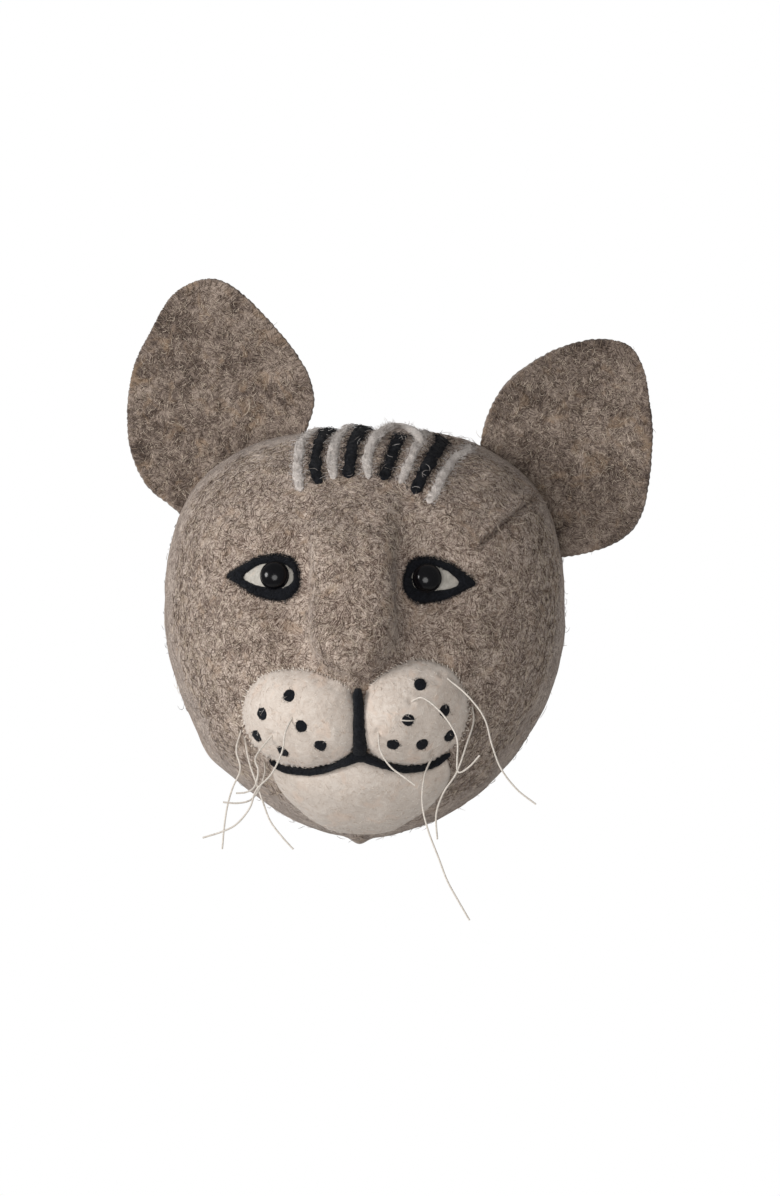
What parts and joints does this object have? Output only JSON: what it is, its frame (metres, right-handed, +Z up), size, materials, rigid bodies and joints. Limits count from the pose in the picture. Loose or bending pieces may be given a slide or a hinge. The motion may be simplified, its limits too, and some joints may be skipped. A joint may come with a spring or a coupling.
{
  "type": "wall-mounted stuffed animal head",
  "caption": "Stuffed wool-felt head of a big cat with a flat back, stitched ears, striped forehead, safety eyes, padded muzzle and thread whiskers; hangs on a wall from a recessed ring.",
  "frame": {"origin": "middle of the flat back face, where it touches the wall", "axes": "+Y into the wall, +Z up, the face looks along -Y, +X to the right as seen from the front"},
  "size_m": [0.2638, 0.1784, 0.32],
  "materials": {
    "grey_felt": "mottled grey-brown wool felt, matte and hairy",
    "ear_felt": "darker mottled grey-brown wool felt, matte",
    "cream_felt": "cream wool felt, matte, slightly mottled",
    "white_felt": "white wool felt, matte",
    "black_wool": "needle-felted black wool, matte and fuzzy",
    "light_wool": "needle-felted off-white wool, matte and fuzzy",
    "eye_plastic": "polished black plastic",
    "washer_plastic": "plain moulded plastic",
    "filling": "loose polyester fibre",
    "thread": "waxed cotton thread, off-white",
    "fibreboard": "raw medium-density fibreboard",
    "steel": "zinc-plated steel"
  },
  "bodies": {
    "head": {"face_skin": "grey_felt", "rear_skin": "grey_felt", "stuffing": "filling", "back_board": "fibreboard", "back_felt": "grey_felt", "hanger_plate": "steel", "hanger_screw_lower": "steel", "hanger_screw_upper": "steel", "left_eye_white": "white_felt", "left_eye_outline": "black_wool", "left_eye": "eye_plastic", "left_eye_washer": "washer_plastic", "right_eye_white": "white_felt", "right_eye_outline": "black_wool", "right_eye": "eye_plastic", "right_eye_washer": "washer_plastic", "left_muzzle_pad": "cream_felt", "left_muzzle_filling": "filling", "left_spot_1": "black_wool", "left_spot_2": "black_wool", "left_spot_3": "black_wool", "left_spot_4": "black_wool", "left_spot_5": "black_wool", "left_spot_6": "black_wool", "right_muzzle_pad": "cream_felt", "right_muzzle_filling": "filling", "right_spot_1": "black_wool", "right_spot_2": "black_wool", "right_spot_3": "black_wool", "right_spot_4": "black_wool", "right_spot_5": "black_wool", "right_spot_6": "black_wool", "chin_patch": "cream_felt", "philtrum": "black_wool", "mouth_line": "black_wool", "stripe_1": "light_wool", "stripe_2": "black_wool", "stripe_3": "light_wool", "stripe_4": "black_wool", "stripe_5": "light_wool", "stripe_6": "black_wool", "stripe_7": "light_wool", "stripe_8": "black_wool", "stripe_9": "light_wool", "left_whisker_1": "thread", "left_whisker_2": "thread", "left_whisker_3": "thread", "left_whisker_4": "thread", "left_whisker_5": "thread", "right_whisker_1": "thread", "right_whisker_2": "thread", "right_whisker_3": "thread", "right_whisker_4": "thread", "right_whisker_5": "thread"},
    "left_ear": {"left_ear_front": "ear_felt", "left_ear_back": "ear_felt"},
    "right_ear": {"right_ear_front": "ear_felt", "right_ear_back": "ear_felt"},
    "hanger_ring": {"hanger_ring": "steel"}
  },
  "joints": [
    {"name": "left_ear_bend", "type": "hinge", "parent": "head", "child": "left_ear", "pos_m": [-0.0653, -0.042, 0.087], "axis": [0.8571, 0, 0.5151], "range_deg": [-12, 25], "stiffness_Nm_per_rad": 0.12},
    {"name": "right_ear_bend", "type": "hinge", "parent": "head", "child": "right_ear", "pos_m": [0.083, -0.042, 0.072], "axis": [0.6702, 0, -0.7422], "range_deg": [-12, 25], "stiffness_Nm_per_rad": 0.12},
    {"name": "hanger_ring_pivot", "type": "hinge", "parent": "head", "child": "hanger_ring", "pos_m": [0, -0.00495, 0.052], "axis": [1, 0, 0], "range_deg": [-4, 180]}
  ]
}
